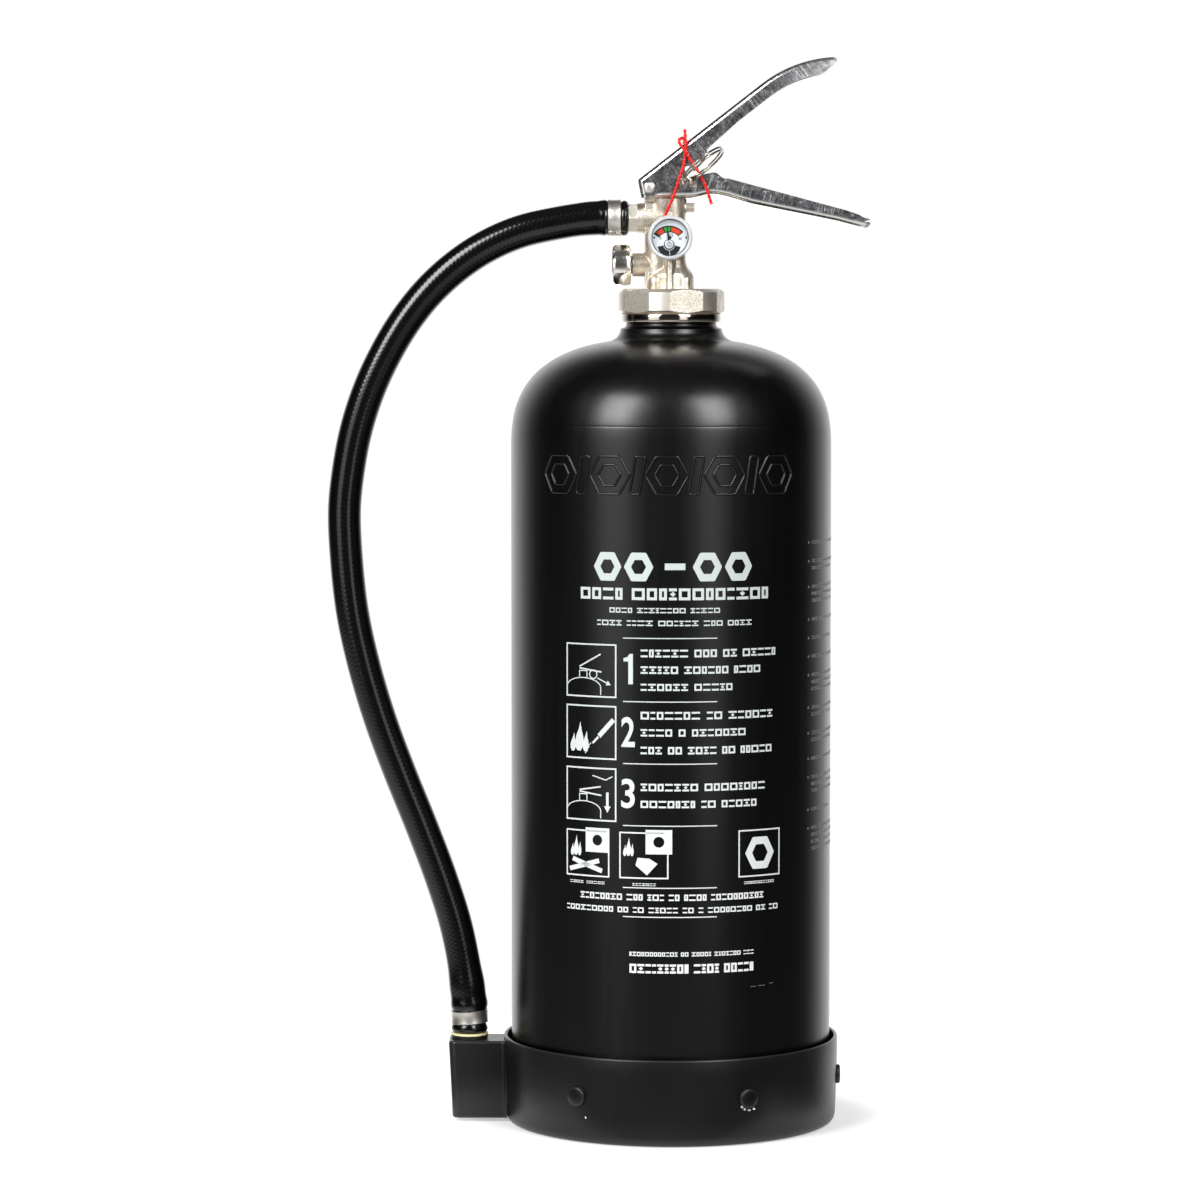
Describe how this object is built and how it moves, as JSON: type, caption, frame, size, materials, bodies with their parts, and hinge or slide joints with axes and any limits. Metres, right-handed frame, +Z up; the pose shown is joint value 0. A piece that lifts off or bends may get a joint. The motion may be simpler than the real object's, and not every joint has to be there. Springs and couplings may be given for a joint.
{
  "type": "fire extinguisher",
  "caption": "Portable stored-pressure fire extinguisher: black composite cylinder, nickel valve with squeeze lever, gauge, side hose and a base skirt with a nozzle pocket.",
  "frame": {"origin": "centre of the base skirt's underside, on the cylinder's axis, at the floor", "axes": "+Z up along the cylinder; the gauge faces -Y; the handles point to +X and the hose hangs on the -X side"},
  "size_m": [0.3048, 0.189, 0.5985],
  "materials": {
    "jacket_plastic": "satin",
    "aramid": "resin-bound wound fibre",
    "liner_plastic": "natural",
    "polished_nickel": "polished",
    "nickel_casting": "blasted nickel plate",
    "nickel_turned": "turned and plated",
    "brass": "turned",
    "black_rubber": "moulded",
    "hose_rubber": "fine woven cover, slight gloss",
    "skirt_plastic": "fine moulded texture",
    "tube_plastic": "natural",
    "spring_steel": "drawn wire",
    "clamp_steel": "satin strip",
    "pressed_steel": "pressed sheet, burnished edges",
    "wire_steel": "bright wire",
    "chrome": "polished",
    "dial_face": "printed",
    "needle_paint": "matt",
    "lens": "clear polycarbonate",
    "seal_red": "beaded cord",
    "nozzle_plastic": "moulded",
    "ring_cream": "moulded"
  },
  "bodies": {
    "root": {"cylinder_jacket": "jacket_plastic", "fibre_wrap": "aramid", "inner_liner": "liner_plastic", "neck_insert": "polished_nickel", "neck_o_ring": "black_rubber", "base_skirt": "skirt_plastic", "skirt_rivets": "skirt_plastic", "valve_body": "nickel_casting", "stem_o_ring": "black_rubber", "spring_retainer": "brass", "valve_spring": "spring_steel", "siphon_tube": "tube_plastic", "siphon_strainer": "skirt_plastic", "outlet_nipple": "nickel_turned", "hose_clamp_top": "clamp_steel", "side_plug": "nickel_turned", "charging_core": "brass", "gauge_stem": "brass", "gauge_case": "chrome", "bourdon_tube": "brass", "gauge_dial": "dial_face", "gauge_hub_cover": "chrome", "gauge_lens": "lens", "carry_handle": "pressed_steel", "pivot_rivet": "nickel_turned", "hose": "hose_rubber", "tamper_seal": "seal_red"},
    "lever": {"squeeze_lever": "pressed_steel"},
    "stem": {"valve_stem": "brass", "stem_gasket": "black_rubber"},
    "pin": {"safety_pin": "wire_steel"},
    "ring": {"pull_ring": "wire_steel"},
    "needle": {"gauge_needle": "needle_paint"},
    "cap": {"service_cap": "chrome"},
    "nozzle_end": {"nozzle": "nozzle_plastic", "nozzle_ring": "ring_cream", "hose_clamp_bottom": "clamp_steel"}
  },
  "joints": [
    {"name": "lever_squeeze", "type": "hinge", "parent": "root", "child": "lever", "pos_m": [-0.0125, 0, 0.5258], "axis": [0, 1, 0], "range_deg": [0, 20], "stiffness_Nm_per_rad": 2, "springref_deg": -17.19},
    {"name": "stem_push", "type": "slide", "parent": "root", "child": "stem", "axis": [0, 0, -1], "range_m": [0, 0.0065], "deforming": ["valve_spring"]},
    {"name": "pin_pull", "type": "slide", "parent": "root", "child": "pin", "axis": [0, -1, 0], "range_m": [0, 0.045]},
    {"name": "ring_swing", "type": "hinge", "parent": "pin", "child": "ring", "pos_m": [0.0101, -0.0206, 0.5298], "axis": [0.7771, 0, 0.6293], "range_deg": [0, 80]},
    {"name": "needle_turn", "type": "hinge", "parent": "root", "child": "needle", "pos_m": [-0.0015, -0.018, 0.4941], "axis": [0, 1, 0], "range_deg": [-51, 53], "stiffness_Nm_per_rad": 0.0002},
    {"name": "cap_unscrew", "type": "slide", "parent": "root", "child": "cap", "axis": [-1, 0, 0], "range_m": [0, 0.014]},
    {"name": "nozzle_lift", "type": "slide", "parent": "root", "child": "nozzle_end", "axis": [0, 0, 1], "range_m": [0, 0.05], "deforming": ["hose"]}
  ],
  "couplings": [
    {"joint": "stem_push", "follows": "lever_squeeze", "m_per_rad": 0.0182}
  ]
}
